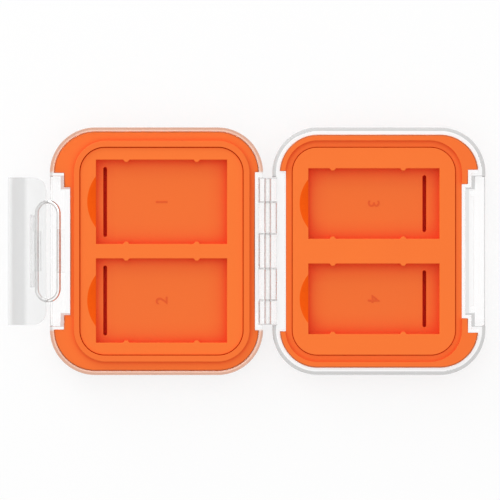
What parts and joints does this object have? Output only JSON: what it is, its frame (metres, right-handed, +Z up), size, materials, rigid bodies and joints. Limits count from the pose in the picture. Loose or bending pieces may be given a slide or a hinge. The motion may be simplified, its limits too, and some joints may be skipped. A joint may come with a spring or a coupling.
{
  "type": "memory card case",
  "caption": "Clear hinged memory card case lying open, with soft orange card trays, a tongue-and-groove seal and a wire-bail draw latch.",
  "frame": {"origin": "middle of the base's flat underside, on the surface that the open case lies on", "axes": "+X from the latch across the hinge to the lid, +Y along the hinge, +Z up out of the pockets"},
  "size_m": [0.139, 0.072, 0.0116],
  "materials": {
    "clear_shell": "clear, polished",
    "clear_lever": "clear, polished",
    "seal_frame": "matte, soft",
    "card_tray": "matte, soft",
    "steel_pin": "polished",
    "steel_wire": "polished"
  },
  "bodies": {
    "base": {"base_shell": "clear_shell", "base_liner": "seal_frame", "base_tray": "card_tray", "hinge_pin": "steel_pin"},
    "lid": {"lid_shell": "clear_shell", "lid_liner": "seal_frame", "lid_tray": "card_tray"},
    "bail": {"latch_bail": "steel_wire"},
    "lever": {"latch_lever": "clear_lever"}
  },
  "joints": [
    {"name": "lid_hinge", "type": "hinge", "parent": "base", "child": "lid", "pos_m": [0.03235, 0, 0.009], "axis": [0, -1, 0], "range_deg": [0, 180]},
    {"name": "bail_swing", "type": "hinge", "parent": "base", "child": "bail", "pos_m": [-0.02856, 0, 0.00494], "axis": [0, 1, 0], "range_deg": [0, 113.13]},
    {"name": "lever_throw", "type": "hinge", "parent": "bail", "child": "lever", "pos_m": [-0.03496, 0, 0.00221], "axis": [0, 1, 0], "range_deg": [-188.14, 0]}
  ],
  "couplings": [
    {"joint": "lever_throw", "follows": "bail_swing", "ratio": -1.6629}
  ]
}
